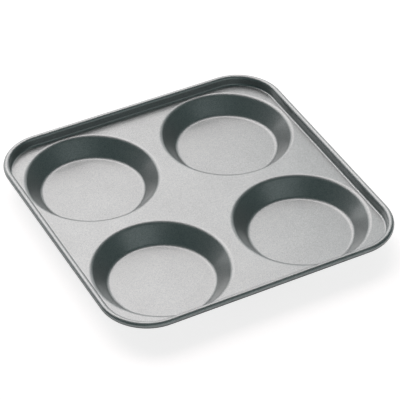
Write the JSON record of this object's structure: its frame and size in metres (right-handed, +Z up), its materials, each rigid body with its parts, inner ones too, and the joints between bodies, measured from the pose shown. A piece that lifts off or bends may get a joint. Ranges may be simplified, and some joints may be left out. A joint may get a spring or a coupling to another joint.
{
  "type": "yorkshire pudding pan",
  "caption": "Square steel baking pan with round tapered wells in a flat deck, a low upright wall and a wire-stiffened rolled rim, for batter puddings.",
  "frame": {"origin": "under the centre of the pan, on the plane of the undersides of the wells", "axes": "+Z up, out of the wells; +X and +Y along the sides, which are alike"},
  "size_m": [0.24, 0.24, 0.0224],
  "materials": {
    "grey_metallic_coat": "satin grey non-stick coat with a fine metallic fleck",
    "bright_wire_steel": "plain drawn wire"
  },
  "bodies": {
    "root": {"pan_body": "grey_metallic_coat", "rim_wire": "bright_wire_steel"}
  },
  "joints": []
}
